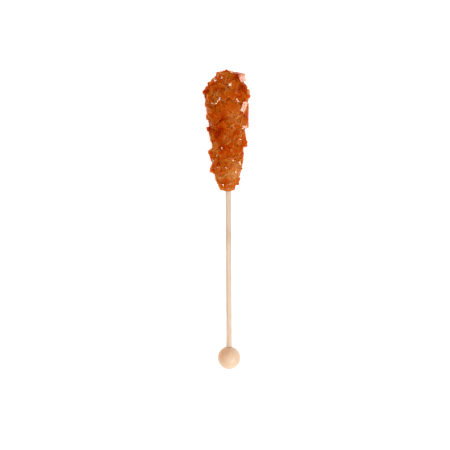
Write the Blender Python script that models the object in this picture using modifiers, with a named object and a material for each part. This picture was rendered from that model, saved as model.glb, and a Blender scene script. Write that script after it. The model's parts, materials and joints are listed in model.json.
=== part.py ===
"""Rock candy stick: a cluster of amber sugar crystals grown on a wooden stick with a wooden ball at its foot.

The stick is modelled upright along local Z, from the ball's centre up to the candy's tip. An empty at the
ball's centre then lays it on the table, where it rests on the ball and on the candy's widest crystals.
The shown side faces +Z, the ball lies at -Y and the candy at +Y.
"""

import collections
import math
import random

import bmesh
import bpy
from mathutils import Euler, Matrix, Vector

MM = 0.001

# The whole stick, measured from the ball's outer end
TOTAL_LENGTH = 165.0 * MM
CANDY_LENGTH = 66.6 * MM
BALL_RADIUS = 6.35 * MM
STICK_RADIUS = 1.6 * MM

# How the stick sits in the ball and in the candy
GAP = 0.3 * MM
BALL_BORE_DEPTH = 8.0 * MM
STICK_SHORT_OF_TIP = 13.0 * MM
STICK_END_BEVEL = 0.3 * MM
STICK_SIDES = 24
BALL_SIDES = 24
BALL_RINGS = 14

# Heights along the stick, from the ball's centre
CANDY_TIP = TOTAL_LENGTH - BALL_RADIUS
CANDY_FOOT = CANDY_TIP - CANDY_LENGTH
STICK_FOOT = BALL_RADIUS - BALL_BORE_DEPTH + GAP
STICK_TOP = CANDY_TIP - STICK_SHORT_OF_TIP

# How it lies on the table: how deep the ball is worn flat, and how high the candy's axis is carried
BALL_FLAT_DEPTH = 0.08 * MM
CANDY_AXIS_HEIGHT = 11.35 * MM
WIDEST_ABOVE_FOOT = 53.0 * MM
BALL_AXIS_HEIGHT = BALL_RADIUS - BALL_FLAT_DEPTH
TILT = math.atan2(CANDY_AXIS_HEIGHT - BALL_AXIS_HEIGHT, CANDY_FOOT + WIDEST_ABOVE_FOOT)
STICK_AXIS_X = 0.65 * MM  # centres the uneven candy's box on the origin
TABLE_WIDTH = 400.0 * MM
TABLE_THICKNESS = 20.0 * MM

# The candy's outline, as (radius, height above its foot) in millimetres, from the foot up and in over the tip
OUTLINE = (
    (2.3, 0.0),
    (3.8, 0.8),
    (5.2, 3.3),
    (6.8, 7.2),
    (8.4, 12.0),
    (9.2, 20.0),
    (9.5, 28.0),
    (10.7, 37.0),
    (11.8, 45.0),
    (12.1, 52.0),
    (11.0, 57.5),
    (9.0, 61.2),
    (6.8, 64.0),
    (4.3, 65.7),
    (0.0, 66.2),
)
GROWTH_OFFSET_X = -0.6 * MM  # the crystals grew a little more on one side of the stick

# Where fewer crystals grew: height above the foot in millimetres, angle around, and how deep it dips in
HOLLOWS = (
    (26.2, 180, 1.7),
    (58.8, 0, 1.6),
    (16.0, 0, 0.7),
)
HOLLOW_HEIGHT = 2.6 * MM
HOLLOW_ANGLE = math.radians(38)

# The solid sugar under the crystals
CORE_STEPS = 14
CORE_INSET = 0.62  # share of a crystal's size by which it lies under the outline
CORE_LEAST_RADIUS = 2.5 * MM  # round the stick's bore

# The crystals: how they grow from the foot up to their full size, and how they vary
CRYSTAL_AT_FOOT = 2.2 * MM
CRYSTAL_FULL = 4.6 * MM
FULL_SIZE_HEIGHT = 46.6 * MM
CRYSTAL_SPACING = 0.88  # share of a crystal's size between neighbours
WIDTH_RANGE = (0.72, 1.32)
DEPTH_RANGE = (0.9, 1.3)
LENGTH_RANGE = (1.05, 1.65)
REACH_RANGE = (-0.9 * MM, 0.25 * MM)
LEAN = math.radians(32)
CHAMFER = 0.12  # share of a crystal's side cut off round its outer face
GOLDEN_ANGLE = math.pi * (3 - math.sqrt(5))
SEED = 24

# Crystals that stand out of the rest, in millimetres and degrees. `above` is the height over the candy's
# foot; `around` is 0 at the right of the shown side, -90 on it, 180 at its left and 90 on the table; `reach`
# is how far the outermost corner stands from the stick's axis; `size` is depth, width and length; `turn`
# rolls the crystal about its outward line, leans it along the stick and swings it around the stick.
Crystal = collections.namedtuple("Crystal", "above around reach size turn")
STANDING_OUT = (
    Crystal(61.8, -20, 10.2, (6.0, 5.0, 5.6), (14, 14, 0)),
    Crystal(54.3, 184, 14.1, (6.2, 5.4, 6.0), (0, 42, 0)),
    Crystal(53.8, -4, 12.7, (6.5, 7.0, 7.5), (12, -7, 6)),
    Crystal(41.6, -6, 11.3, (6.0, 5.2, 13.6), (3, 2, -20)),
    Crystal(27.6, -3, 10.5, (5.5, 5.0, 7.4), (-4, -9, 0)),
    Crystal(45.5, 176, 12.3, (6.0, 5.0, 8.5), (0, 5, 12)),
    Crystal(33.8, 181, 11.5, (4.6, 4.2, 3.8), (10, 30, 0)),
    Crystal(29.4, 188, 9.8, (3.6, 3.6, 3.2), (0, 4, 0)),
    Crystal(20.6, 180, 10.9, (5.0, 4.6, 5.4), (0, 17, 0)),
    Crystal(12.0, 182, 10.3, (5.0, 4.2, 4.4), (0, -16, 8)),
    Crystal(6.4, 0, 6.7, (3.6, 3.4, 3.4), (0, 24, 0)),
    Crystal(57.8, 168, 10.9, (5.4, 5.0, 5.4), (0, 12, 0)),
    Crystal(53.0, 90, 12.6, (6.0, 7.4, 6.6), (0, 0, 0)),  # the one that it rests on
)

# Colours as they look on screen, from 0 to 255, and roughness
CANDY_COLOUR = (186, 84, 22)
CANDY_ROUGHNESS = 0.12
STICK_COLOUR = (240, 211, 187)
STICK_ROUGHNESS = 0.55
BALL_COLOUR = (232, 194, 160)
BALL_ROUGHNESS = 0.45


def clear_scene():
    for obj in list(bpy.data.objects):
        bpy.data.objects.remove(obj, do_unlink=True)


def new_collection(name, hidden=False):
    collection = bpy.data.collections.new(name)
    collection.hide_render = hidden
    bpy.context.scene.collection.children.link(collection)
    return collection


def new_object(name, mesh, collection):
    obj = bpy.data.objects.new(name, mesh)
    collection.objects.link(obj)
    return obj


def new_cutter(name, mesh, collection):
    cutter = new_object(name, mesh, collection)
    cutter.display_type = "WIRE"
    cutter.hide_render = True
    return cutter


def mesh_from(name, shape):
    mesh = bpy.data.meshes.new(name)
    shape.to_mesh(mesh)
    shape.free()
    return mesh


def linear(colour):
    """Screen values from 0 to 255 as the linear colour that a shader takes."""
    shares = [value / 255 for value in colour]
    return [s / 12.92 if s <= 0.04045 else ((s + 0.055) / 1.055) ** 2.4 for s in shares]


def material(name, colour, roughness):
    made = bpy.data.materials.new(name)
    made.use_nodes = True
    shader = made.node_tree.nodes["Principled BSDF"]
    shader.inputs["Base Color"].default_value = (*linear(colour), 1.0)
    shader.inputs["Roughness"].default_value = roughness
    shader.inputs["Metallic"].default_value = 0.0
    return made


def cylinder(name, bottom, top, radius):
    """A closed cylinder on local Z between two heights."""
    shape = bmesh.new()
    bmesh.ops.create_cone(
        shape,
        cap_ends=True,
        segments=STICK_SIDES,
        radius1=radius,
        radius2=radius,
        depth=top - bottom,
        matrix=Matrix.Translation((0, 0, (bottom + top) / 2)),
    )
    return mesh_from(name, shape)


def cut(obj, name, cutter):
    modifier = obj.modifiers.new(name, "BOOLEAN")
    modifier.operation = "DIFFERENCE"
    modifier.object = cutter


def join_all(obj, collection):
    """Joins a whole collection to obj in one union. Several hundred closed crystals need the manifold solver."""
    modifier = obj.modifiers.new("join crystals", "BOOLEAN")
    modifier.operation = "UNION"
    modifier.operand_type = "COLLECTION"
    modifier.collection = collection
    modifier.solver = "MANIFOLD"


def apply_modifiers(obj):
    """Makes the modifiers' result the object's own mesh."""
    bpy.context.view_layer.update()
    evaluated = obj.evaluated_get(bpy.context.evaluated_depsgraph_get())
    result = bpy.data.meshes.new_from_object(evaluated)
    obj.modifiers.clear()
    obj.data = result


def hollow_depth(height, around):
    """How far the outline dips in at a height and angle: a bell shape about each hollow's middle."""
    depth = 0.0
    for above, angle, deepest in HOLLOWS:
        along = (height - above * MM) / HOLLOW_HEIGHT
        turned = math.remainder(around - math.radians(angle), 2 * math.pi) / HOLLOW_ANGLE
        depth += deepest * MM * math.exp(-along * along - turned * turned)
    return depth


def outline_at(travelled):
    """The candy's outline at a distance along it from the foot: radius, height and slope of its outward line."""
    for (r0, h0), (r1, h1) in zip(OUTLINE, OUTLINE[1:]):
        step = math.hypot(r1 - r0, h1 - h0) * MM
        if travelled <= step:
            share = travelled / step
            radius = (r0 + (r1 - r0) * share) * MM
            height = (h0 + (h1 - h0) * share) * MM
            return radius, height, math.atan2(r0 - r1, h1 - h0)
        travelled -= step
    return 0.0, OUTLINE[-1][1] * MM, math.pi / 2


def crystal_size(height):
    """The usual width of a crystal at a height above the candy's foot."""
    return CRYSTAL_AT_FOOT + (CRYSTAL_FULL - CRYSTAL_AT_FOOT) * min(1.0, height / FULL_SIZE_HEIGHT)


def crystal_mesh():
    """A sugar crystal as a unit block, with the four edges of its outer face, at +X, cut back by flat faces."""
    shape = bmesh.new()
    bmesh.ops.create_cube(shape, size=1.0)
    outer = [edge for edge in shape.edges if all(v.co.x > 0 for v in edge.verts)]
    bmesh.ops.bevel(shape, geom=outer, offset=CHAMFER, segments=1, affect="EDGES", profile=0.5)
    return mesh_from("crystal", shape)


def place_crystal(mesh, collection, facing, start, reach, size, turn):
    """Puts one crystal with its outermost corner a distance `reach` along the outward line from `start`.

    `facing` turns local X to the outward line. The corner's distance from the crystal's middle is the sum of
    the half sizes, each times how far its own axis points outwards, less what the chamfer takes off.
    """
    rotation = facing @ Euler(turn, "XYZ").to_matrix()
    outward = facing.col[0]
    corner = sum(abs(rotation.col[i].dot(outward)) * size[i] / 2 for i in range(3))
    corner -= CHAMFER * min(size) / 2
    middle = start + outward * (reach - corner)
    obj = new_object("crystal", mesh, collection)
    obj.matrix_world = Matrix.Translation(middle) @ rotation.to_4x4() @ Matrix.Diagonal((*size, 1.0))


def scatter_crystals(mesh, collection):
    """Crystals on a golden-angle spiral up the outline, each about its own size from the next."""
    draw = random.Random(SEED)
    whole = sum(math.dist(a, b) for a, b in zip(OUTLINE, OUTLINE[1:])) * MM
    travelled = 0.0
    around = 0.0
    while travelled < whole:
        radius, height, slope = outline_at(travelled)
        pitch = crystal_size(height) * CRYSTAL_SPACING
        travelled += pitch * pitch / max(2 * math.pi * radius, pitch)
        around += GOLDEN_ANGLE
        width = crystal_size(height) * draw.uniform(*WIDTH_RANGE)
        size = (width * draw.uniform(*DEPTH_RANGE), width, width * draw.uniform(*LENGTH_RANGE))
        turn = (draw.uniform(-math.pi, math.pi), draw.uniform(-LEAN, LEAN), draw.uniform(-LEAN, LEAN))
        facing = Matrix.Rotation(around, 3, "Z") @ Matrix.Rotation(-slope, 3, "Y")
        start = Vector((radius * math.cos(around), radius * math.sin(around), CANDY_FOOT + height))
        start.x += GROWTH_OFFSET_X
        reach = draw.uniform(*REACH_RANGE) - hollow_depth(height, around)
        place_crystal(mesh, collection, facing, start, reach, size, turn)


def add_standing_out(mesh, collection):
    for crystal in STANDING_OUT:
        facing = Matrix.Rotation(math.radians(crystal.around), 3, "Z")
        start = Vector((0, 0, CANDY_FOOT + crystal.above * MM))
        size = [side * MM for side in crystal.size]
        turn = [math.radians(angle) for angle in crystal.turn]
        place_crystal(mesh, collection, facing, start, crystal.reach * MM, size, turn)


def candy_core(collection):
    """The solid sugar under the crystals: the outline drawn in by part of a crystal, turned about the stick."""
    profile = [(0.0, CANDY_FOOT)]
    for radius, height in OUTLINE[:-1]:
        inset = CORE_INSET * crystal_size(height * MM)
        level = min(CANDY_FOOT + height * MM, CANDY_TIP - inset)
        profile.append((max(radius * MM - inset, CORE_LEAST_RADIUS), level))
    profile.append((0.0, profile[-1][1]))
    profile.reverse()
    mesh = bpy.data.meshes.new("candy_crystals")
    corners = [(radius, 0.0, height) for radius, height in profile]
    mesh.from_pydata(corners, [(i, i + 1) for i in range(len(corners) - 1)], [])
    core = new_object("candy_crystals", mesh, collection)
    screw = core.modifiers.new("turn", "SCREW")
    screw.steps = screw.render_steps = CORE_STEPS
    screw.use_merge_vertices = True
    screw.merge_threshold = 0.01 * MM
    return core


def shell_volume(shell):
    """The volume inside a shell of faces, from the cones that join each face to the origin."""
    return sum(face.calc_center_median().dot(face.normal) * face.calc_area() for face in shell) / 3


def keep_outer_skin(mesh):
    """Removes sealed hollows and loose scraps: of the separate shells, only the one with most volume stays."""
    shape = bmesh.new()
    shape.from_mesh(mesh)
    unseen = set(shape.faces)
    shells = []
    while unseen:
        shell = [unseen.pop()]
        for face in shell:
            for edge in face.edges:
                for other in edge.link_faces:
                    if other in unseen:
                        unseen.remove(other)
                        shell.append(other)
        shells.append(shell)
    shells.sort(key=shell_volume)
    for shell in shells[:-1]:
        bmesh.ops.delete(shape, geom=shell, context="FACES")
    shape.to_mesh(mesh)
    shape.free()


def make_table(cutters):
    """The surface that everything rests on, as a slab with its top at z = 0 that cuts what would sink into it."""
    shape = bmesh.new()
    bmesh.ops.create_cube(shape, size=1.0)
    bmesh.ops.scale(shape, vec=(TABLE_WIDTH, TABLE_WIDTH, TABLE_THICKNESS), verts=shape.verts)
    bmesh.ops.translate(shape, vec=(0, 0, -TABLE_THICKNESS / 2), verts=shape.verts)
    return new_cutter("table", mesh_from("table", shape), cutters)


def make_candy(parts, cutters, axis, table):
    crystals = new_collection("Crystals to join", hidden=True)
    block = crystal_mesh()
    scatter_crystals(block, crystals)
    add_standing_out(block, crystals)
    candy = candy_core(parts)
    join_all(candy, crystals)
    apply_modifiers(candy)
    for crystal in list(crystals.objects):
        bpy.data.objects.remove(crystal, do_unlink=True)
    bpy.data.collections.remove(crystals)
    keep_outer_skin(candy.data)
    candy.parent = axis
    hole = cylinder("hole in candy", CANDY_FOOT - CRYSTAL_AT_FOOT, STICK_TOP + GAP, STICK_RADIUS + GAP)
    bore = new_cutter("hole in candy", hole, cutters)
    bore.parent = axis
    cut(candy, "stick hole", bore)
    cut(candy, "table flat", table)
    candy.data.materials.append(material("amber sugar", CANDY_COLOUR, CANDY_ROUGHNESS))


def make_stick(parts, axis):
    stick = new_object("wooden_stick", cylinder("wooden_stick", STICK_FOOT, STICK_TOP, STICK_RADIUS), parts)
    stick.parent = axis
    bevel = stick.modifiers.new("rounded ends", "BEVEL")
    bevel.width = STICK_END_BEVEL
    bevel.segments = 1
    bevel.limit_method = "ANGLE"
    bevel.angle_limit = math.radians(60)
    stick.data.shade_smooth()
    stick.data.set_sharp_from_angle(angle=math.radians(30))
    stick.data.materials.append(material("pale wood", STICK_COLOUR, STICK_ROUGHNESS))


def make_ball(parts, cutters, axis, table):
    shape = bmesh.new()
    bmesh.ops.create_uvsphere(shape, u_segments=BALL_SIDES, v_segments=BALL_RINGS, radius=BALL_RADIUS)
    ball = new_object("wooden_ball", mesh_from("wooden_ball", shape), parts)
    ball.parent = axis
    hole = cylinder("hole in ball", STICK_FOOT - GAP, 2 * BALL_RADIUS, STICK_RADIUS + GAP)
    bore = new_cutter("hole in ball", hole, cutters)
    bore.parent = axis
    cut(ball, "stick hole", bore)
    cut(ball, "table flat", table)
    ball.data.shade_smooth()
    ball.data.set_sharp_from_angle(angle=math.radians(30))
    ball.data.materials.append(material("turned wood", BALL_COLOUR, BALL_ROUGHNESS))


def main():
    clear_scene()
    parts = new_collection("Rock candy stick")
    cutters = new_collection("Cutters", hidden=True)
    axis = new_object("stick_axis", None, parts)
    axis.location = (STICK_AXIS_X, BALL_RADIUS - TOTAL_LENGTH / 2, BALL_AXIS_HEIGHT)
    axis.rotation_euler = (TILT - math.pi / 2, 0.0, 0.0)
    table = make_table(cutters)
    make_candy(parts, cutters, axis, table)
    make_stick(parts, axis)
    make_ball(parts, cutters, axis, table)


main()
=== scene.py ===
"""Looks of the rock candy stick: clear amber sugar crystals, the pale wooden stick and its turned ball.

Lengths are in metres unless a name or a comment says mm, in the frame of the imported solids: the stick lies
along +Y and the shown side faces +Z. Shapes are first worked out upright, with Z along the stick from the
ball's centre, and then laid down.
"""

import json
import math
import random

import bmesh
import bpy
import numpy as np
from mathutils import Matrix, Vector
from mathutils.bvhtree import BVHTree

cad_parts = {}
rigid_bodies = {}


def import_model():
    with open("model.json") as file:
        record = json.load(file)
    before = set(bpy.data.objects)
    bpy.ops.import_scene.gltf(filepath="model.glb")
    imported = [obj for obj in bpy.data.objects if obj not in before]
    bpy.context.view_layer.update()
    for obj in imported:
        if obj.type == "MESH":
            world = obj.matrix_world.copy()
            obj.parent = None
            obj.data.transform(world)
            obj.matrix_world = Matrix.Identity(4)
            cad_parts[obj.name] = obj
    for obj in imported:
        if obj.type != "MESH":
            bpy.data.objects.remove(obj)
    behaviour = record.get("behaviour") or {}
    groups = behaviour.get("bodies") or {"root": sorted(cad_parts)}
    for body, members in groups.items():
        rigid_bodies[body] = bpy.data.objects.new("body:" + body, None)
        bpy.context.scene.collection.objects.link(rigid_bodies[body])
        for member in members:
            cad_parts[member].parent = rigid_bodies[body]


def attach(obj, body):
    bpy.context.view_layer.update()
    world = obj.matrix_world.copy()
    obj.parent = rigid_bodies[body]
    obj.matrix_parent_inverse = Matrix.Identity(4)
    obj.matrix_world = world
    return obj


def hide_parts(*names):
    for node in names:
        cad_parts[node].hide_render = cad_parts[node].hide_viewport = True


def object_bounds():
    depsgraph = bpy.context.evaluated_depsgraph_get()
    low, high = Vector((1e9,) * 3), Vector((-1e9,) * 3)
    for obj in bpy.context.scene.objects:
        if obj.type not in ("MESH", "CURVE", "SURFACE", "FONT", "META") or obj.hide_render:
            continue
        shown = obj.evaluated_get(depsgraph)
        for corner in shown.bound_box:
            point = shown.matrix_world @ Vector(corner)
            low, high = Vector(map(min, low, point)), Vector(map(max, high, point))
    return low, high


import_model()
solids_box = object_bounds()

MM = 0.001

# The stick's own sizes, which are those of its solids apart from the thinner line of glue in the ball
TOTAL_LENGTH = 165.0 * MM
CANDY_LENGTH = 66.6 * MM
BALL_RADIUS = 6.35 * MM
STICK_RADIUS = 1.6 * MM
BALL_BORE_DEPTH = 8.0 * MM
GLUE_LINE = 0.07 * MM
STICK_ABOVE_BORE_FLOOR = 0.3 * MM
STICK_SHORT_OF_TIP = 13.0 * MM
STICK_END_ROUND = 0.3 * MM
CANDY_TIP = TOTAL_LENGTH - BALL_RADIUS
CANDY_FOOT = CANDY_TIP - CANDY_LENGTH
STICK_FOOT = BALL_RADIUS - BALL_BORE_DEPTH + STICK_ABOVE_BORE_FLOOR
STICK_TOP = CANDY_TIP - STICK_SHORT_OF_TIP

# How it lies: on the ball and on one crystal, so the stick's line climbs a little towards the candy
BALL_FLAT_DEPTH = 0.08 * MM
BALL_AXIS_HEIGHT = BALL_RADIUS - BALL_FLAT_DEPTH
CANDY_AXIS_HEIGHT = 11.35 * MM
WIDEST_ABOVE_FOOT = 53.0 * MM
TILT = math.atan2(CANDY_AXIS_HEIGHT - BALL_AXIS_HEIGHT, CANDY_FOOT + WIDEST_ABOVE_FOOT)
STICK_AXIS_X = 0.65 * MM
STICK_START = np.array([STICK_AXIS_X, BALL_RADIUS - TOTAL_LENGTH / 2, BALL_AXIS_HEIGHT])

# The candy's outline as (radius, height above its foot) in millimetres
OUTLINE = np.array([
    (2.3, 0.0), (3.8, 0.8), (5.2, 3.3), (6.8, 7.2), (8.4, 12.0), (9.2, 20.0), (9.5, 28.0), (10.7, 37.0),
    (11.8, 45.0), (12.1, 52.0), (11.0, 57.5), (9.0, 61.2), (6.8, 64.0), (4.3, 65.7), (0.0, 66.2),
])
OUTLINE_LENGTH = np.hypot(*np.diff(OUTLINE * MM, axis=0).T).sum()
GROWTH_OFFSET_X = -0.6 * MM
HOLLOWS = ((26.2, 180, 1.7), (58.8, 0, 1.6))  # height mm, angle around, depth mm
HOLLOW_HEIGHT = 2.6 * MM
HOLLOW_ANGLE = math.radians(38)
CORE_STEPS = 28
CORE_LEAST_RADIUS = 2.5 * MM

# The crystals. The spacing and the widths are shares of the usual width, the depths and lengths are shares
# of a crystal's own width, and the cuts of its edges are shares of its smallest side.
CRYSTAL_AT_FOOT = 2.2 * MM
CRYSTAL_FULL = 4.6 * MM
FULL_SIZE_HEIGHT = 46.6 * MM
CRYSTAL_SPACING = 0.88
NUMBERS_A_CRYSTAL = 7
WIDTH_RANGE = (0.72, 1.32)
DEPTH_RANGE = (0.9, 1.3)
LENGTH_RANGE = (1.05, 1.65)
REACH_RANGE = (-0.9 * MM, 0.25 * MM)
LEAN = math.radians(32)
CHAMFER = 0.12
GOLDEN_ANGLE = math.pi * (3 - math.sqrt(5))
CRYSTAL_SEED = 24
STANDING_OUT = (  # height mm, angle around, reach mm, depth width length mm, roll lean swing
    (61.8, -20, 9.5, (6.0, 5.0, 5.6), (14, 14, 0)),
    (54.3, 184, 14.1, (6.2, 5.4, 6.0), (0, 42, 0)),
    (53.8, -4, 12.7, (6.5, 7.0, 7.5), (12, -26, 6)),
    (41.6, -6, 11.3, (6.0, 5.2, 13.6), (3, 2, -20)),
    (27.6, -3, 10.5, (5.5, 5.0, 7.4), (-4, -9, 0)),
    (45.5, 176, 12.3, (6.0, 5.0, 8.5), (0, 5, 12)),
    (33.8, 181, 11.5, (4.6, 4.2, 3.8), (10, 30, 0)),
    (29.4, 188, 9.8, (3.6, 3.6, 3.2), (0, 4, 0)),
    (20.6, 180, 10.9, (5.0, 4.6, 5.4), (0, 17, 0)),
    (12.0, 182, 10.3, (5.0, 4.2, 4.4), (0, -16, 8)),
    (6.4, 0, 6.7, (3.6, 3.4, 3.4), (0, 24, 0)),
    (57.8, 168, 10.9, (5.4, 5.0, 5.4), (0, 12, 0)),
    (53.0, 90, 12.6, (6.0, 7.4, 6.6), (0, 0, 0)),
)
FILLING = (  # crystals that fill the right edge out to its outline, listed in the same way
    (57.4, -10, 10.7, (5.0, 5.0, 5.0), (20, 25, 30)),
    (49.0, -14, 11.2, (5.0, 4.6, 4.6), (30, 10, 25)),
    (44.5, -32, 11.3, (5.0, 4.6, 5.0), (20, 10, 12)),
    (37.6, -30, 10.6, (5.0, 4.4, 5.4), (-15, 6, -10)),
    (32.0, -12, 9.9, (4.6, 4.4, 4.4), (35, -8, 20)),
    (18.4, -6, 8.5, (4.6, 4.4, 5.6), (25, 6, 4)),
    (13.2, 4, 7.8, (4.4, 4.0, 5.0), (-15, 10, -12)),
)
EDGE_SEED = 5
EDGE_CUT_RANGE = (0.04, 0.13)

# The sugar that the crystals have grown from, and the cloudy middle that shows through it
CORE_SEED = 8
CORE_RING_STEP = 1.7 * MM
CORE_INSET = 0.4
CORE_UNEVEN = 0.4 * MM
CLOUDY_INSET = 0.75

# How closely faces are cut, matched to a plane and matched to a crystal's own axes
CUT_TOLERANCE = 1e-8
SAME_PLANE = 2e-6
ALONG_AXIS = 0.98

# Small crystals whose outer side mirrors the key light to the camera: each one's place across and height,
# its width and length, all in mm, and its turn
BRIGHT_SIDES = (
    (8.4, 61.4, 3.2, 4.0, 24),
    (9.0, 46.0, 2.7, 5.8, -18),
    (9.6, 35.0, 2.9, 2.0, 6),
    (-6.0, 60.0, 1.5, 1.3, 30),
    (-2.7, 61.4, 1.7, 0.7, 52),
    (1.7, 57.3, 1.8, 1.7, 12),
    (-10.7, 55.6, 1.3, 0.9, 20),
    (-4.3, 49.3, 1.1, 2.8, -28),
    (-5.6, 47.5, 1.9, 0.8, 10),
    (-7.9, 47.6, 0.9, 0.8, 0),
    (5.6, 49.0, 1.0, 2.4, 38),
    (7.2, 27.9, 1.0, 0.9, 24),
    (-3.0, 23.1, 0.8, 1.5, 15),
    (-5.2, 19.3, 0.9, 1.3, 35),
    (-7.1, 16.5, 1.1, 0.9, 5),
    (3.3, 16.5, 0.8, 1.1, 30),
    (6.9, 15.4, 0.9, 2.1, 34),
    (-5.2, 12.9, 1.0, 0.7, 12),
    (-0.5, 12.9, 1.0, 0.7, 60),
    (4.7, 10.5, 1.0, 1.4, 18),
    (2.8, 64.5, 1.2, 0.7, 4),
    (-2.2, 3.6, 1.2, 1.2, 40),
)
BRIGHT_LIFT = 0.12 * MM
BRIGHT_LIFT_SHARE = 0.22  # of the crystal's longer side
BRIGHT_DEPTH = 2.4 * MM
HIGH_ABOVE = 1.0

# The small crystals on the sides of the others: the width is a share of the usual width, and the three sides
# and the lift are shares of that width
SMALL_BETWEEN = (1.0 * MM, 62.0 * MM)
SMALL_SHARE = (0.2, 0.45)
SMALL_SIDES = (1.0, 1.6)
SMALL_LEAN = 0.3
SMALL_FACES_OUT = 0.5
SMALL_LIFT = 0.14

# The gloss, and the shares of the usual, the small and the bright crystals that have it
GLOSS = 0.7
GLOSSY_SHARES = (0, 0.12, 1)
MIDDLE_TONE = 0.5

# The picture: straight down on the shown side, so that the stick stands upright in it. The camera is as far
# above the stick's mean height as the lens needs to make a pixel there as wide as it is on the stick.
PICTURE = 450  # this and the next three are in pixels
STICK_IN_PICTURE = 299.6
STICK_LINE_PIXEL = 228.5
STICK_MIDDLE_PIXEL = 220.1
PIXEL = TOTAL_LENGTH / STICK_IN_PICTURE
LENS = 100.0
SENSOR = 36.0
ROLL = math.radians(-0.3)
CAMERA_PLACE = np.array([
    STICK_START[0] + (PICTURE / 2 - STICK_LINE_PIXEL) * PIXEL,
    (STICK_MIDDLE_PIXEL - PICTURE / 2) * PIXEL,
    (CANDY_AXIS_HEIGHT + BALL_AXIS_HEIGHT) / 2 + PICTURE * PIXEL * LENS / SENSOR,
])

# The lamps, all at one distance from the origin, which lies on the table under the middle of the stick
LAMP_DISTANCE = 0.8
KEY_DIRECTION = np.array([0.55, -0.48, 0.69])
KEY_PLACE = LAMP_DISTANCE * KEY_DIRECTION / np.linalg.norm(KEY_DIRECTION)

# Where the shown side is darker or paler, partly the amber's own tone and partly painted shade, mostly on
# the
# left, away from the key light: across mm, height mm, radius mm, strength
TONE_AND_SHADE_PATCHES = (
    (-2.4, 39.4, 2.8, -0.42), (-4.9, 30.3, 3.6, -0.4), (-12.3, 54.0, 5.0, -0.8), (-10.1, 34.1, 3.0, -0.6),
    (5.8, 31.9, 1.8, -0.3), (-2.7, 22.9, 2.6, -0.3), (-5.7, 14.0, 2.1, -0.4), (-1.3, 14.0, 1.7, -0.4),
    (-0.8, 5.2, 1.8, -0.3), (-5.0, 35.0, 8.0, -0.15), (3.8, 9.0, 6.5, 0.38), (3.0, 40.0, 8.0, 0.18),
    (6.3, 62.6, 1.8, -0.6), (10.6, 40.4, 3.2, -0.4), (-3.6, 33.6, 2.4, -0.3), (0.5, 54.0, 6.0, 0.14),
    (9.0, 56.0, 4.0, -0.2),
)


def turn_about(axis, angles):
    """Rotation matrices about one axis for many angles: cosines on the other two, and sines across them."""
    angles = np.atleast_1d(angles)
    made = np.tile(np.eye(3), (len(angles), 1, 1))
    i, j = (axis + 1) % 3, (axis + 2) % 3
    made[:, i, i] = made[:, j, j] = np.cos(angles)
    made[:, j, i] = np.sin(angles)
    made[:, i, j] = -np.sin(angles)
    return made


STICK_TURN = turn_about(0, TILT - math.pi / 2)[0]


def laid_down(points):
    """Points of the upright stick as they lie on the table: turned down to the tilt, and moved to where the
    ball's centre is."""
    return points @ STICK_TURN.T + STICK_START


def unit(vectors):
    """Vectors divided by their lengths."""
    return vectors / np.linalg.norm(vectors, axis=1, keepdims=True)


def angles_round(count):
    """Angles spaced evenly all the way round."""
    return np.arange(count) * 2 * math.pi / count


def mesh_object(name, points, faces, smooth=False):
    """A new object in the scene, at the origin, with a mesh of these points and faces."""
    mesh = bpy.data.meshes.new(name)
    mesh.from_pydata(points, [], faces)
    if smooth:
        mesh.shade_smooth()
    made = bpy.data.objects.new(name, mesh)
    bpy.context.scene.collection.objects.link(made)
    return made


def ring_faces(rings, sides):
    """Faces between neighbouring rings of points, and at each end a fan to one of the two points that follow
    the last ring."""
    index = np.arange(rings * sides).reshape(rings, sides)
    after = np.roll(index, -1, axis=1)
    quads = np.stack([index[:-1], after[:-1], after[1:], index[1:]], axis=-1).reshape(-1, 4)
    first = np.stack([after[0], index[0], np.full(sides, index.size)], axis=-1)
    last = np.stack([index[-1], after[-1], np.full(sides, index.size + 1)], axis=-1)
    return quads.tolist() + first.tolist() + last.tolist()


def turned_form(radius, height, sides):
    """A turned solid: each pair of radius and height is a ring, and a point on the axis closes each end.
    The radius may be one number a ring, or one for each ring and angle."""
    angle = angles_round(sides)
    radius = np.broadcast_to(np.asarray(radius).reshape(len(height), -1), (len(height), sides))
    level = np.repeat(np.asarray(height)[:, None], sides, axis=1)
    rings = np.stack([radius * np.cos(angle), radius * np.sin(angle), level], axis=2)
    points = np.concatenate([rings.reshape(-1, 3), [[0, 0, height[0]], [0, 0, height[-1]]]])
    return points, ring_faces(len(height), sides)


# The candy


def edge_cut_block():
    """The signs, own side and faces of a block with its edges cut back. Each of the 24 corners lies on one
    side, the one that its own axis names, and is drawn in from the two others. No size is read from the
    block, so any size and any small cut serve."""
    shape = bmesh.new()
    bmesh.ops.create_cube(shape, size=1.0)
    bmesh.ops.bevel(shape, geom=shape.edges[:], offset=0.1, segments=1, affect="EDGES", profile=0.5)
    corners = np.array([v.co for v in shape.verts])
    faces = [[v.index for v in face.verts] for face in shape.faces]
    shape.free()
    return np.sign(corners), np.abs(corners).argmax(axis=1), faces


BLOCK_SIGNS, BLOCK_OWN, BLOCK_FACES = edge_cut_block()


def crystal_points(middle, turned, size, edge_cut):
    """Corners of many crystals. A corner is its signs times the half sizes, drawn in from its two other
    sides by the cut of the edge that it shares with each, then turned and moved. The array goes by crystal,
    corner and axis."""
    drawn_in = np.zeros((len(size), len(BLOCK_OWN), 3))
    for own in range(3):
        for other in {0, 1, 2} - {own}:
            drawn_in[:, BLOCK_OWN == own, other] = edge_cut[:, [3 - own - other]]
    local = BLOCK_SIGNS * (size[:, None, :] / 2 - drawn_in)
    return np.einsum("nij,nkj->nki", turned, local) + middle[:, None, :]


def usual_width(height):
    """The usual width of a crystal, which grows evenly with its height above the foot up to full size."""
    return CRYSTAL_AT_FOOT + (CRYSTAL_FULL - CRYSTAL_AT_FOOT) * np.minimum(1.0, height / FULL_SIZE_HEIGHT)


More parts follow.
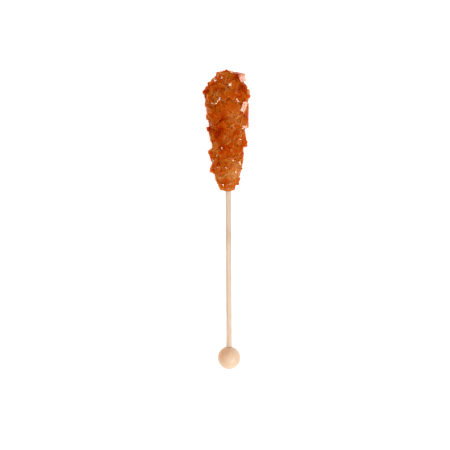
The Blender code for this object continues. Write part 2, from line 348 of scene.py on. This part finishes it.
def outline_at(travelled):
    """Radius, height and slope of the outward line for an array of distances along the outline."""
    steps = np.diff(OUTLINE * MM, axis=0)
    reached = np.concatenate([[0.0], np.cumsum(np.hypot(*steps.T))])
    piece = np.clip(np.searchsorted(reached, travelled) - 1, 0, len(steps) - 1)
    radius = np.interp(travelled, reached, OUTLINE[:, 0] * MM)
    height = np.interp(travelled, reached, OUTLINE[:, 1] * MM)
    return radius, height, np.arctan2(-steps[piece, 0], steps[piece, 1])


def hollow_depth(height, around):
    """How far the outline dips in: a bell shape about each hollow's middle, in height and in angle."""
    depth = np.zeros_like(height)
    for above, angle, deepest in HOLLOWS:
        along = (height - above * MM) / HOLLOW_HEIGHT
        turned = (around - math.radians(angle) + math.pi) % (2 * math.pi) - math.pi
        depth += deepest * MM * np.exp(-along**2 - (turned / HOLLOW_ANGLE) ** 2)
    return depth


def spiral():
    """Distances along the outline and angles of a golden-angle spiral, whose points each have a square of
    the outline's surface to themselves, as wide as the usual crystal there times the spacing."""
    travelled = [0.0]
    while travelled[-1] < OUTLINE_LENGTH:
        radius, height, _ = outline_at(np.array([travelled[-1]]))
        pitch = usual_width(height[0]) * CRYSTAL_SPACING
        travelled.append(travelled[-1] + pitch * pitch / max(2 * math.pi * radius[0], pitch))
    travelled = np.array(travelled[:-1])
    return travelled, GOLDEN_ANGLE * np.arange(1, len(travelled) + 1)


def placed(start, facing, turn, size, reach):
    """Middle and rotation of crystals whose outermost corner stands the reach out from the start. The corner
    lies out by the sum of the half sizes, each times how far its own axis points outwards, less half of the
    cut edge."""
    turned = facing @ turn_about(2, turn[:, 2]) @ turn_about(1, turn[:, 1]) @ turn_about(0, turn[:, 0])
    outward = facing[:, :, 0]
    corner = (np.abs(np.einsum("nij,ni->nj", turned, outward)) * size).sum(axis=1) / 2
    corner -= CHAMFER * size.min(axis=1) / 2
    return start + outward * (reach - corner)[:, None], turned


def covering_crystals():
    """The crystals all over the outline. Their sizes, turns and reach are random, each between two limits,
    and the hollows take from the reach."""
    travelled, around = spiral()
    radius, height, slope = outline_at(travelled)
    draw = random.Random(CRYSTAL_SEED)
    numbers = [draw.random() for _ in range(NUMBERS_A_CRYSTAL * len(travelled))]
    drawn = np.array(numbers).reshape(-1, NUMBERS_A_CRYSTAL)

    def between(column, limits):
        """One column of the random numbers, spread between two limits."""
        return limits[0] + (limits[1] - limits[0]) * drawn[:, column]

    width = usual_width(height) * between(0, WIDTH_RANGE)
    size = np.stack([width * between(1, DEPTH_RANGE), width, width * between(2, LENGTH_RANGE)], axis=1)
    roll = between(3, (-math.pi, math.pi))
    lean = between(4, (-LEAN, LEAN))
    swing = between(5, (-LEAN, LEAN))
    reach = between(6, REACH_RANGE) - hollow_depth(height, around)
    start = np.stack([radius * np.cos(around), radius * np.sin(around), CANDY_FOOT + height], axis=1)
    start[:, 0] += GROWTH_OFFSET_X
    facing = turn_about(2, around) @ turn_about(1, -slope)
    return *placed(start, facing, np.stack([roll, lean, swing], axis=1), size, reach), size


def listed_crystals():
    """The crystals that stand out and those that fill the right edge. They reach out from the stick's
    axis."""
    above, around, reach, size, turn = (np.array(column, float) for column in zip(*STANDING_OUT, *FILLING))
    start = np.stack([0 * above, 0 * above, CANDY_FOOT + above * MM], axis=1)
    facing = turn_about(2, np.radians(around))
    return *placed(start, facing, np.radians(turn), size * MM, reach * MM), size * MM


def first_met(candy, start, along):
    """Where lines from the start points first meet the sugar, and the normals of the faces met."""
    mesh = candy.data
    skin = BVHTree.FromPolygons([v.co for v in mesh.vertices], [face.vertices for face in mesh.polygons])
    met = [skin.ray_cast(Vector(point), Vector(line))[:2] for point, line in zip(start, along)]
    return np.array([place for place, _ in met]), np.array([normal for _, normal in met])


def set_on_skin(met, outward, turn, size, lift):
    """Middle, rotation and size of crystals whose outer side faces outward, and lies by the lift above the
    places met."""
    beside = unit(np.cross((0, 1, 0), outward))
    facing = np.stack([outward, beside, np.cross(outward, beside)], axis=2)
    return met + outward * (lift - size[:, :1] / 2), facing @ turn_about(0, turn), size


def small_crystals(candy, rng):
    """Small crystals sunk in the sides of the others, at every second place of the spiral, half a turn on.
    Each has a random share of the usual width, and faces between the side that it is on and straight out,
    with a random lean."""
    travelled, around = (values[1::2] for values in spiral())
    _, height, _ = outline_at(travelled)
    kept = (height > SMALL_BETWEEN[0]) & (height < SMALL_BETWEEN[1])
    height, around = height[kept], around[kept] + math.pi
    outwards = np.stack([np.cos(around), np.sin(around), 0 * around], axis=1)
    start = outwards * CANDY_LENGTH + (0, 0, CANDY_FOOT) + height[:, None] * (0, 0, 1)
    met, normal = first_met(candy, laid_down(start), -outwards @ STICK_TURN.T)
    lean = rng.normal(0, SMALL_LEAN, normal.shape)
    outward = unit(normal + SMALL_FACES_OUT * outwards @ STICK_TURN.T + lean)
    width = usual_width(height) * rng.uniform(*SMALL_SHARE, len(height))
    size = width[:, None] * rng.uniform(*SMALL_SIDES, (len(height), 3))
    turn = rng.uniform(0, math.pi, len(height))
    return set_on_skin(met, outward, turn, size, SMALL_LIFT * width[:, None])


def bright_crystals(candy):
    """Small crystals whose outer side faces halfway between the key light and the camera. Each stands where
    a line straight down first meets the sugar, out of it by a small lift and a share of its longer side."""
    across, above, width, length, turn = (np.array(column, float) for column in zip(*BRIGHT_SIDES))
    upright = np.stack([across * MM - STICK_START[0], 0 * above, CANDY_FOOT + above * MM], axis=1)
    start = laid_down(upright)
    start[:, 2] = HIGH_ABOVE
    met, _ = first_met(candy, start, np.tile((0, 0, -1), (len(start), 1)))
    outward = unit(unit(KEY_PLACE - met) + unit(CAMERA_PLACE - met))
    size = np.stack([np.full(len(turn), BRIGHT_DEPTH), width * MM, length * MM], axis=1)
    lift = BRIGHT_LIFT + BRIGHT_LIFT_SHARE * size[:, 1:].max(axis=1, keepdims=True)
    return set_on_skin(met, outward, np.radians(turn), size, lift)


def grown_core():
    """Points and faces of the sugar between the crystals: rings at even steps along the outline, drawn in
    across it by a share of the usual crystal width and by the hollows, with each point's radius a little
    uneven."""
    radius, height, slope = outline_at(np.arange(0, OUTLINE_LENGTH, CORE_RING_STEP))
    inset = CORE_INSET * usual_width(height)
    radius, height = radius - inset * np.cos(slope), height - inset * np.sin(slope)
    kept = radius > CORE_LEAST_RADIUS
    radius, height = radius[kept][:, None], np.maximum.accumulate(height[kept])
    uneven = np.random.default_rng(CORE_SEED).uniform(-1, 1, (len(height), CORE_STEPS)) * CORE_UNEVEN
    dip = hollow_depth(*np.broadcast_arrays(height[:, None], angles_round(CORE_STEPS)))
    return turned_form(radius + uneven - dip, CANDY_FOOT + height, CORE_STEPS)


def join_crystals(base, crystals):
    """One skin round a closed base and many crystals, by a union on a collection that is then removed."""
    group = bpy.data.collections.new("crystals to join")
    bpy.context.scene.collection.children.link(group)
    for points in crystals:
        mesh = bpy.data.meshes.new("crystal")
        mesh.from_pydata(points, [], BLOCK_FACES)
        group.objects.link(bpy.data.objects.new("crystal", mesh))
    union = base.modifiers.new("join", "BOOLEAN")
    union.operation = "UNION"
    union.operand_type = "COLLECTION"
    union.collection = group
    union.solver = "MANIFOLD"
    bpy.context.view_layer.update()
    evaluated = base.evaluated_get(bpy.context.evaluated_depsgraph_get())
    joined = bpy.data.meshes.new_from_object(evaluated)
    base.modifiers.clear()
    base.data = joined
    for crystal in list(group.objects):
        bpy.data.objects.remove(crystal, do_unlink=True)
    bpy.data.collections.remove(group)


def shell_volume(shell):
    """Volume inside a closed set of faces: a sixth of the sum of their corners' triple products."""
    total = 0.0
    for face in shell:
        corners = [v.co for v in face.verts]
        for second, third in zip(corners[1:], corners[2:]):
            total += corners[0].dot(second.cross(third)) / 6
    return total


def trim(mesh):
    """Cuts off what lies outside the solids' box, such as below the table, and keeps the one shell with most
    volume, without sealed hollows."""
    shape = bmesh.new()
    shape.from_mesh(mesh)
    low, high = solids_box
    for place, outward in ((low, (0, 0, -1)), (low, (-1, 0, 0)), (high, (1, 0, 0)), (high, (0, 0, 1))):
        whole = shape.verts[:] + shape.edges[:] + shape.faces[:]
        plane = {"plane_co": place, "plane_no": outward, "dist": CUT_TOLERANCE, "clear_outer": True}
        cut = bmesh.ops.bisect_plane(shape, geom=whole, **plane)
        rim = [part for part in cut["geom_cut"] if isinstance(part, bmesh.types.BMEdge)]
        bmesh.ops.holes_fill(shape, edges=rim, sides=0)
    unseen = set(shape.faces)
    shells = []
    while unseen:
        shell = [unseen.pop()]
        for face in shell:
            beside = {other for edge in face.edges for other in edge.link_faces} & unseen
            unseen -= beside
            shell.extend(sorted(beside, key=lambda other: other.index))
        shells.append(shell)
    shells.sort(key=shell_volume)
    for shell in shells[:-1]:
        bmesh.ops.delete(shape, geom=shell, context="FACES")
    shape.to_mesh(mesh)
    shape.free()


def vectors_of(items, name):
    """One vector of each face or point of a mesh, such as its centre."""
    values = np.empty(len(items) * 3)
    items.foreach_get(name, values)
    return values.reshape(-1, 3)


def on_cut_edge(normal, owner, crystals):
    """Which faces are a crystal's cut edges or corners: their normals lie along none of its three axes,
    which run from its middle to the middles of three of its sides."""
    middle = crystals.mean(axis=1)
    ends = [crystals[:, (BLOCK_OWN == own) & (BLOCK_SIGNS[:, own] > 0)].mean(axis=1) for own in range(3)]
    along = np.stack([unit(end - middle) for end in ends], axis=1)[np.minimum(owner, len(crystals) - 1)]
    facing = np.abs(np.einsum("fai,fi->fa", along, normal)).max(axis=1)
    return (facing < ALONG_AXIS) & (owner < len(crystals))


def mark_crystals(mesh, crystals, gloss):
    """Gives each face its crystal's own tone and gloss. A face belongs to the crystal whose outermost point
    along the face's normal lies in the face's plane; the sugar between the crystals has a middle tone and no
    gloss. The cut edges and corners are marked too."""
    centre = vectors_of(mesh.polygons, "center")
    normal = vectors_of(mesh.polygons, "normal")
    level = (centre * normal).sum(axis=1)
    off = np.stack([np.abs((points @ normal.T).max(axis=0) - level) for points in crystals])
    owner = np.where(off.min(axis=0) < SAME_PLANE, off.argmin(axis=0), len(crystals))
    tones = np.random.default_rng(EDGE_SEED).random(len(crystals))
    marks = {
        "tone": np.append(tones, MIDDLE_TONE)[owner],
        "gloss": np.append(gloss, 0)[owner],
        "edge": on_cut_edge(normal, owner, crystals).astype(float),
    }
    for name, values in marks.items():
        mesh.attributes.new(name, "FLOAT", "FACE").data.foreach_set("value", values)


def mark_depth(mesh):
    """Gives each point its depth in mm: the outline's radius at its height, less its distance from the line
    that the candy grew about."""
    across, out, along = ((vectors_of(mesh.vertices, "co") - STICK_START) @ STICK_TURN).T
    radius = np.interp((along - CANDY_FOOT) / MM, OUTLINE[:, 1], OUTLINE[:, 0])
    depth = radius - np.hypot(across - GROWTH_OFFSET_X, out) / MM
    mesh.attributes.new("depth", "FLOAT", "POINT").data.foreach_set("value", depth)


def grow(candy, rng, middle, turned, size):
    """Joins a batch of crystals to the candy, each with edges cut at random, and returns their corners."""
    edge_cut = size.min(axis=1)[:, None] * rng.uniform(*EDGE_CUT_RANGE, (len(size), 3))
    crystals = crystal_points(middle, turned, size, edge_cut)
    join_crystals(candy, crystals)
    return crystals


def make_candy():
    """The core, then the usual crystals, then the small ones on their sides, and last the bright ones. All
    the bright ones are glossy, and a few of the small ones."""
    rng = np.random.default_rng(EDGE_SEED)
    points, faces = grown_core()
    candy = mesh_object("rock_candy", laid_down(points), faces)
    middle, turned, size = (np.concatenate(both) for both in zip(covering_crystals(), listed_crystals()))
    batches = [grow(candy, rng, laid_down(middle), STICK_TURN @ turned, size)]
    batches.append(grow(candy, rng, *small_crystals(candy, rng)))
    batches.append(grow(candy, rng, *bright_crystals(candy)))
    gloss = [GLOSS * (rng.random(len(batch)) < share) for batch, share in zip(batches, GLOSSY_SHARES)]
    trim(candy.data)
    mark_crystals(candy.data, np.concatenate(batches), np.concatenate(gloss))
    mark_depth(candy.data)
    return candy


def make_cloudy_middle():
    """The cloudy sugar that shows through the clear crystals: the outline's rings, each drawn in by a share
    of the usual crystal width there, and rounded."""
    radius, height = OUTLINE[:-1].T * MM
    inset = CLOUDY_INSET * usual_width(height)
    radius = np.maximum(radius - inset, CORE_LEAST_RADIUS)
    height = np.minimum(CANDY_FOOT + height, CANDY_TIP - inset)
    points, faces = turned_form(radius, height, CORE_STEPS)
    cloudy = mesh_object("cloudy_sugar", laid_down(points), faces, smooth=True)
    rounding = cloudy.modifiers.new("rounding", "SUBSURF")
    rounding.levels = rounding.render_levels = 1
    return cloudy


# The wood

STICK_SIDES = 72
STICK_RINGS = 150
STICK_END_RINGS = 6
GROOVE_DEPTH = 0.018 * MM
GROOVE_WAVES = 40
WAVES_ROUND = (5, 34)
WAVE_DRIFT = 5
BALL_SIDES = 96
BALL_RINGS = 72
POLE_ANGLE = 0.02
MOUTH_BEVEL = 0.25 * MM
MOUTH_RINGS = 6
BORE_RINGS = 7
WOOD_SEED = 11


def make_stick():
    """The dowel. Its rings have the stick's radius less fine grooves along it: a mean of waves round the
    stick, whose phases drift slowly along it. Each end is rounded by a quarter circle."""
    rng = np.random.default_rng(WOOD_SEED)
    length = STICK_TOP - STICK_FOOT
    ends = STICK_END_ROUND * (1 - np.cos(np.linspace(0, math.pi / 2, STICK_END_RINGS)))
    between = np.linspace(ends[-1], length - ends[-1], STICK_RINGS)[1:-1]
    along = np.concatenate([ends, between, length - ends[::-1]])
    from_end = np.minimum(np.minimum(along, length - along), STICK_END_ROUND)
    radius = STICK_RADIUS - STICK_END_ROUND + np.sqrt(STICK_END_ROUND**2 - (STICK_END_ROUND - from_end) ** 2)
    waves = rng.integers(*WAVES_ROUND, GROOVE_WAVES)
    phase = rng.uniform(0, 2 * math.pi, GROOVE_WAVES)
    phase = phase + along[:, None] / length * rng.uniform(-WAVE_DRIFT, WAVE_DRIFT, GROOVE_WAVES)
    groove = np.cos(waves * angles_round(STICK_SIDES)[:, None, None] + phase[None]).mean(axis=2).T
    radius = radius[:, None] - GROOVE_DEPTH * (1 + 2 * groove)
    points, faces = turned_form(radius, STICK_FOOT + along, STICK_SIDES)
    return mesh_object("dowel", laid_down(points), faces, smooth=True)


def make_ball():
    """The ball: rings up a circle from its lower pole to the mouth, a quarter circle over the mouth's edge,
    then down the bore to its floor. What would lie outside the solids' box is pressed flat onto its side."""
    bore = STICK_RADIUS + GLUE_LINE
    mouth = bore + MOUTH_BEVEL
    mouth_angle = math.asin(mouth / BALL_RADIUS)
    polar = np.linspace(math.pi - POLE_ANGLE, mouth_angle, BALL_RINGS)
    bevel = np.linspace(mouth_angle, math.pi / 2, MOUTH_RINGS + 1)[1:]
    wall_top = BALL_RADIUS * math.cos(mouth_angle) - MOUTH_BEVEL
    wall = np.linspace(wall_top, BALL_RADIUS - BALL_BORE_DEPTH, BORE_RINGS + 1)[1:]
    edge_radius = mouth - MOUTH_BEVEL * np.sin(bevel)
    radius = np.concatenate([BALL_RADIUS * np.sin(polar), edge_radius, np.full(BORE_RINGS, bore)])
    height = np.concatenate([BALL_RADIUS * np.cos(polar), wall_top + MOUTH_BEVEL * np.cos(bevel), wall])
    points, faces = turned_form(radius, height, BALL_SIDES)
    points = np.maximum(laid_down(points), solids_box[0])
    return mesh_object("turned_ball", points, faces, smooth=True)


# Finishes


class Wire:
    """What one socket gives to the next. Arithmetic on numbers adds the Math nodes."""

    def __init__(self, shader, socket):
        self.shader = shader
        self.socket = socket

    def math(self, operation, first, second):
        return self.shader.node("ShaderNodeMath", {"operation": operation}, {0: first, 1: second})

    def __add__(self, other):
        return self.math("ADD", self, other)

    __radd__ = __add__

    def __sub__(self, other):
        return self.math("SUBTRACT", self, other)

    def __rsub__(self, other):
        return self.math("SUBTRACT", other, self)

    def __mul__(self, other):
        return self.math("MULTIPLY", self, other)

    __rmul__ = __mul__


class Shader:
    """The nodes of one material or of the world."""

    def __init__(self, owner):
        owner.use_nodes = True
        self.owner = owner
        self.tree = owner.node_tree
        self.tree.nodes.clear()

    def node(self, kind, settings=None, sockets=None, output=0):
        """Adds a node, sets it up, gives its sockets their values or links, and returns one output or, where
        it has none, the node."""
        made = self.tree.nodes.new(kind)
        for name, value in (settings or {}).items():
            if name == "stops":
                self.set_stops(made.color_ramp, value)
            else:
                setattr(made, name, value)
        for name, value in (sockets or {}).items():
            if isinstance(value, Wire):
                self.tree.links.new(value.socket, made.inputs[name])
            else:
                made.inputs[name].default_value = value
        return Wire(self, made.outputs[output]) if made.outputs else made

    def set_stops(self, ramp, stops):
        """Gives a new colour ramp these places and colours, in their order along it."""
        while len(ramp.elements) < len(stops):
            ramp.elements.new(0.5)
        for element, (place, colour) in zip(ramp.elements, stops):
            element.position = place
            element.color = (*colour, 1)

    def place_mm(self, stretch=(1, 1, 1), turned=(0, 0, 0)):
        """The place on the object in millimetres, turned and then stretched for a pattern."""
        place = self.node("ShaderNodeTexCoord", output="Object")
        turned_place = self.node("ShaderNodeMapping", {}, {"Vector": place, "Rotation": turned})
        scale = tuple(share / MM for share in stretch)
        return self.node("ShaderNodeMapping", {}, {"Vector": turned_place, "Scale": scale})

    def noise(self, place, scale, detail=2.0, roughness=0.5):
        """Soft noise about 0.5, whose scale is how many of its waves go in a millimetre."""
        values = {"Vector": place, "Scale": scale, "Detail": detail, "Roughness": roughness}
        return self.node("ShaderNodeTexNoise", {}, values)

    def cells(self, place, scale):
        """Cells that each have a random level: the red of a random colour. The scale is their number in a
        millimetre."""
        grain = self.node("ShaderNodeTexVoronoi", {}, {"Vector": place, "Scale": scale}, "Color")
        return self.node("ShaderNodeSeparateColor", {}, {"Color": grain})

    def eased(self, value, low, high, to_low=0.0, to_high=1.0):
        """A smooth step from one level to another as the value goes from low to high."""
        limits = {"Value": value, "From Min": low, "From Max": high, "To Min": to_low, "To Max": to_high}
        return self.node("ShaderNodeMapRange", {"interpolation_type": "SMOOTHSTEP"}, limits)

    def near(self, place, middle, radius):
        """One at the middle, falling smoothly to nothing at the radius, all in millimetres."""
        away = self.node("ShaderNodeVectorMath", {"operation": "DISTANCE"}, {0: place, 1: middle}, "Value")
        return self.eased(away, 0.0, radius, 1.0, 0.0)

    def mixed(self, share, first, second):
        """Two colours mixed. A Mix node's sockets 6 and 7 and its output 2 are the ones for colours."""
        return self.node("ShaderNodeMix", {"data_type": "RGBA"}, {0: share, 6: first, 7: second}, 2)

    def ramp(self, value, stops):
        """The colour at a value along a ramp of stops."""
        return self.node("ShaderNodeValToRGB", {"stops": stops}, {"Fac": value})

    def bump(self, height, strength, depth):
        """The normal of a surface in relief."""
        return self.node("ShaderNodeBump", {}, {"Height": height, "Strength": strength, "Distance": depth})

    def attribute(self, name):
        """What the mesh has written on its faces or points under a name."""
        return self.node("ShaderNodeAttribute", {"attribute_name": name}, output="Fac")

    def finish(self, surface, volume=None):
        """Ends a material in a Principled shader with these values and links, and a volume if it has one."""
        ends = {"Surface": self.node("ShaderNodeBsdfPrincipled", {}, surface)}
        if volume:
            ends["Volume"] = self.node("ShaderNodeVolumeAbsorption", {}, volume)
        self.node("ShaderNodeOutputMaterial", {}, ends)
        return self.owner


def patch_places():
    """Where each patch lies on the shown side, in mm: at its height along the stick and its place across it,
    as far out as the outline is there."""
    across, above, radius, strength = np.array(TONE_AND_SHADE_PATCHES).T
    half = np.interp(above, OUTLINE[:, 1], OUTLINE[:, 0])
    out = np.sqrt(np.maximum(half**2 - across**2, 0))
    upright = np.stack([across * MM - STICK_START[0], -out * MM, CANDY_FOOT + above * MM], axis=1)
    return laid_down(upright) / MM, radius, strength


AMBER = (
    (0.0, (0.40, 0.028, 0.0001)),
    (0.3, (0.56, 0.074, 0.0015)),
    (0.5, (0.62, 0.124, 0.004)),
    (0.7, (0.65, 0.192, 0.024)),
    (1.0, (0.70, 0.340, 0.110)),
)
GRAIN_TONES = 0.16
FINE_CLOUDS = 0.6
BROAD_CLOUDS = 0.6
PATCH_SPREAD = 1.5
CRYSTAL_TONES = 0.16
# Painted shade: the amber is darker and redder where the skin lies deep below the outline, in the crevices
# between the crystals
CREVICE_SHADE_DEPTHS = (0.8, 3.2)  # depth in mm
CREVICE_SHADE_DARKENS = 0.26
FROSTED_BETWEEN = (0.9, 0.96)
FROSTED_LIGHTENS = 0.1
# Painted highlight along parts of the cut edges: where the noise lies between these it shows, and this much
# paler
EDGE_GLINT_BETWEEN = (0.35, 0.6)
EDGE_GLINT_LIGHTENS = 0.12
# Painted highlight: how much paler the glossy crystals are painted, over the real reflection of their coat
PAINTED_GLINT_LIGHTENS = 0.35
SMOOTHEST = 0.06
ROUGHNESS_VARIES = 0.08
PALE_ROUGHENS = 0.2
CLOUDY_LIGHTENS = 0.1


def amber_tone(shader, place):
    """How light the amber is, about a middle tone: cells as wide as a grain, fine and broad soft clouds, and
    the patches of the shown side, which are partly painted shade."""
    tone = MIDDLE_TONE + (shader.cells(place, 0.5) - 0.5) * GRAIN_TONES
    tone = tone + (shader.noise(place, 0.9, 3.0) - 0.5) * FINE_CLOUDS
    tone = tone + (shader.noise(place, 0.14, 1.0) - 0.5) * BROAD_CLOUDS
    places, radii, strengths = patch_places()
    for middle, radius, strength in zip(places, radii, strengths):
        tone = tone + shader.near(place, tuple(middle), PATCH_SPREAD * radius) * strength
    return tone


def crystal_sugar():
    """Clear amber crystals: grains and clouds of tone, and a painted shade that makes the amber darker and
    redder in the crevices between the crystals. A few crystals are frosted, parts of the cut edges are
    painted pale as a painted glint, and the glossy crystals are painted paler, a painted highlight over the
    reflection of their coat."""
    shader = Shader(bpy.data.materials.new("clear amber sugar"))
    place = shader.place_mm()
    own = shader.attribute("tone")
    tone = amber_tone(shader, place) + (own - MIDDLE_TONE) * CRYSTAL_TONES
    # Painted shade: darker and redder where the skin lies deep in the crevices between the crystals
    tone = tone - shader.eased(shader.attribute("depth"), *CREVICE_SHADE_DEPTHS, 0.0, CREVICE_SHADE_DARKENS)
    frosted = shader.eased(own, *FROSTED_BETWEEN)
    # Painted highlight: parts of the cut edges are painted pale in place of the glints along them, and are
    # rougher too
    painted_glint_edges = shader.attribute("edge") * shader.eased(shader.noise(place, 0.7), *EDGE_GLINT_BETWEEN)
    gloss = shader.attribute("gloss")
    # Frost makes a crystal paler; the pale edges and the paler glossy crystals are painted highlights
    tone = tone + frosted * FROSTED_LIGHTENS + painted_glint_edges * EDGE_GLINT_LIGHTENS + gloss * PAINTED_GLINT_LIGHTENS
    amber = shader.ramp(tone, AMBER)
    rough = SMOOTHEST + ROUGHNESS_VARIES * shader.noise(place, 0.8)
    rough = rough + PALE_ROUGHENS * frosted + PALE_ROUGHENS * painted_glint_edges
    normal = shader.bump(shader.noise(place, 1.6, 4.0, 0.6), 0.12, 0.05 * MM)
    surface = {
        "Base Color": amber, "Roughness": rough, "Normal": normal, "IOR": 1.12, "Transmission Weight": 0.45,
        "Subsurface Weight": 1.0, "Subsurface Radius": (1.0, 0.35, 0.1), "Subsurface Scale": 8 * MM,
        "Specular IOR Level": 0.1, "Specular Tint": (1, 0.5, 0.12, 1),
        "Coat Weight": gloss, "Coat Roughness": 0.08, "Coat IOR": 1.5,
    }
    return shader.finish(surface, {"Color": (0.88, 0.45, 0.02, 1), "Density": 480.0})


def cloudy_sugar():
    """The same amber a little paler, and dull."""
    shader = Shader(bpy.data.materials.new("cloudy amber sugar"))
    place = shader.place_mm()
    amber = shader.ramp(amber_tone(shader, place) + CLOUDY_LIGHTENS, AMBER)
    rough = 0.5 + 0.2 * shader.noise(place, 0.6)
    return shader.finish({"Base Color": amber, "Roughness": rough, "IOR": 1.1})


GRAIN_STRETCH = (1, 0.07, 1)
GRAIN_TURN = (-TILT, 0, 0)
STREAK_TONES = 0.9
BAND_TONES = 0.8
DARK_TO_PALE = (0.1, 0.9)
PORES_BETWEEN = (0.66, 0.74)
PORE_SHOWS = 0.25
PORE_DARKNESS = 0.6
# How strongly the painted shade shows at its middle
PAINTED_SHADE_SHOWS = 0.8


def bare_wood(name, dark, pale, shade_colour, shade_middle, shade_radius):
    """Pale close-grained wood: fine streaks along the grain, broad soft bands and short dark pores, with a
    satin shine and the streaks in relief. About one place, given in mm, it is painted darker and warmer, a
    painted shade on the side away from the key light."""
    shader = Shader(bpy.data.materials.new(name))
    place = shader.place_mm(GRAIN_STRETCH, GRAIN_TURN)
    streaks = shader.noise(place, 2.2, 5.0, 0.6)
    bands = shader.noise(place, 0.45, 2.0)
    pores = shader.eased(shader.noise(place, 5.5, 2.0), *PORES_BETWEEN)
    tone = MIDDLE_TONE + (streaks - 0.5) * STREAK_TONES + (bands - 0.5) * BAND_TONES
    wood = shader.mixed(shader.eased(tone, *DARK_TO_PALE), dark, pale)
    # Painted shade: darker and warmer about one place on the side away from the key light
    wood = shader.mixed(shader.near(shader.place_mm(), shade_middle, shade_radius) * PAINTED_SHADE_SHOWS, wood, shade_colour)
    pore_colour = tuple(share * PORE_DARKNESS for share in dark[:3]) + (1,)
    wood = shader.mixed(pores * PORE_SHOWS, wood, pore_colour)
    rough = 0.3 + 0.12 * streaks
    normal = shader.bump(streaks - pores, 0.3, 0.03 * MM)
    return shader.finish({"Base Color": wood, "Roughness": rough, "Normal": normal, "IOR": 1.5})


# Putting it together


def dress(piece, material, node):
    """Gives a piece its finish, puts it on the root body and hides the solid that it stands for."""
    piece.data.materials.clear()
    piece.data.materials.append(material)
    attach(piece, "root")
    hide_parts(node)


candy = make_candy()
cloudy = make_cloudy_middle()
dress(candy, crystal_sugar(), "candy_crystals")
dress(cloudy, cloudy_sugar(), "candy_crystals")

# The wood's colours: dark, pale and the warm, darker colour of its painted shade, and where in mm that
# painted shade is deepest and how far it goes
stick_colours = ((0.51, 0.36, 0.255, 1), (0.67, 0.51, 0.395, 1), (0.50, 0.33, 0.22, 1))
stick_wood = bare_wood("pale dowel wood", *stick_colours, (-1.1, -8.0, 8.5), 9.0)
dress(make_stick(), stick_wood, "wooden_stick")
ball_colours = ((0.57, 0.37, 0.23, 1), (0.69, 0.51, 0.36, 1), (0.58, 0.25, 0.10, 1))
ball_wood = bare_wood("turned ball wood", *ball_colours, (-3.6, -71.8, 9.0), 9.5)
dress(make_ball(), ball_wood, "wooden_ball")

# The studio


def set_camera():
    """A camera that looks straight down, turned by the slight slant of the stick in the picture."""
    camera = bpy.data.objects.new("camera", bpy.data.cameras.new("camera"))
    bpy.context.scene.collection.objects.link(camera)
    bpy.context.scene.camera = camera
    camera.data.lens = LENS
    camera.data.sensor_width = SENSOR
    camera.data.clip_start = 0.01
    camera.data.clip_end = 20
    camera.location = CAMERA_PLACE
    camera.rotation_euler = (0, 0, ROLL)


FLOOR_HALF = 6.0
FLOOR_GLOW = 0.36
SKY_AT_HORIZON = 1.0
SKY_BETWEEN = 0.15
SKY_OVERHEAD = 1.43
HORIZON_ENDS = (0.12, 0.2)  # heights as sines of the angle above the horizon
OVERHEAD_BEGINS = (0.45, 0.8)


def set_floor():
    """A wide pale floor with a faint glow, which keeps shadows soft."""
    corners = [(x * FLOOR_HALF, y * FLOOR_HALF, 0) for x, y in ((-1, -1), (1, -1), (1, 1), (-1, 1))]
    floor = mesh_object("floor", corners, [(0, 1, 2, 3)])
    shader = Shader(bpy.data.materials.new("pale floor"))
    pale = {"Base Color": (0.97, 0.97, 0.97, 1), "Roughness": 0.9, "Emission Color": (1, 1, 1, 1)}
    floor.data.materials.append(shader.finish({**pale, "Emission Strength": FLOOR_GLOW}))


def set_world():
    """A pale world: white at the horizon, dim above it, and bright overhead like a wide soft lamp."""
    world = bpy.data.worlds.new("studio")
    bpy.context.scene.world = world
    shader = Shader(world)
    look = shader.node("ShaderNodeTexCoord", output="Generated")
    height = shader.node("ShaderNodeSeparateXYZ", {}, {"Vector": look}, "Z")
    light = shader.eased(height, *HORIZON_ENDS, SKY_AT_HORIZON, SKY_BETWEEN)
    light = light + shader.eased(height, *OVERHEAD_BEGINS, 0.0, SKY_OVERHEAD - SKY_BETWEEN)
    background = shader.node("ShaderNodeBackground", {}, {"Color": (1, 1, 1, 1), "Strength": light})
    shader.node("ShaderNodeOutputWorld", {}, {"Surface": background})
    bpy.context.scene.view_settings.view_transform = "Standard"


LAMPS = (  # name, direction, width, brightness
    ("key softbox", KEY_DIRECTION, 0.26, 12.8),
    ("right softbox", (0.93, 0.1, 0.36), 0.2, 1.6),
    ("left softbox", (-0.7, 0.2, 0.6), 0.18, 4.4),
    ("bottom softbox", (-0.35, -0.75, 0.55), 0.2, 5.0),
)


def set_lamps():
    """Square lamps that face the origin. Each has a power of pi times its area times its brightness."""
    for name, direction, width, brightness in LAMPS:
        lamp = bpy.data.lights.new(name, "AREA")
        lamp.size = width
        lamp.energy = brightness * math.pi * width * width
        light = bpy.data.objects.new(name, lamp)
        bpy.context.scene.collection.objects.link(light)
        direction = Vector(direction).normalized()
        light.location = direction * LAMP_DISTANCE
        light.rotation_euler = direction.to_track_quat("Z", "Y").to_euler()


set_camera()
set_floor()
set_world()
set_lamps()
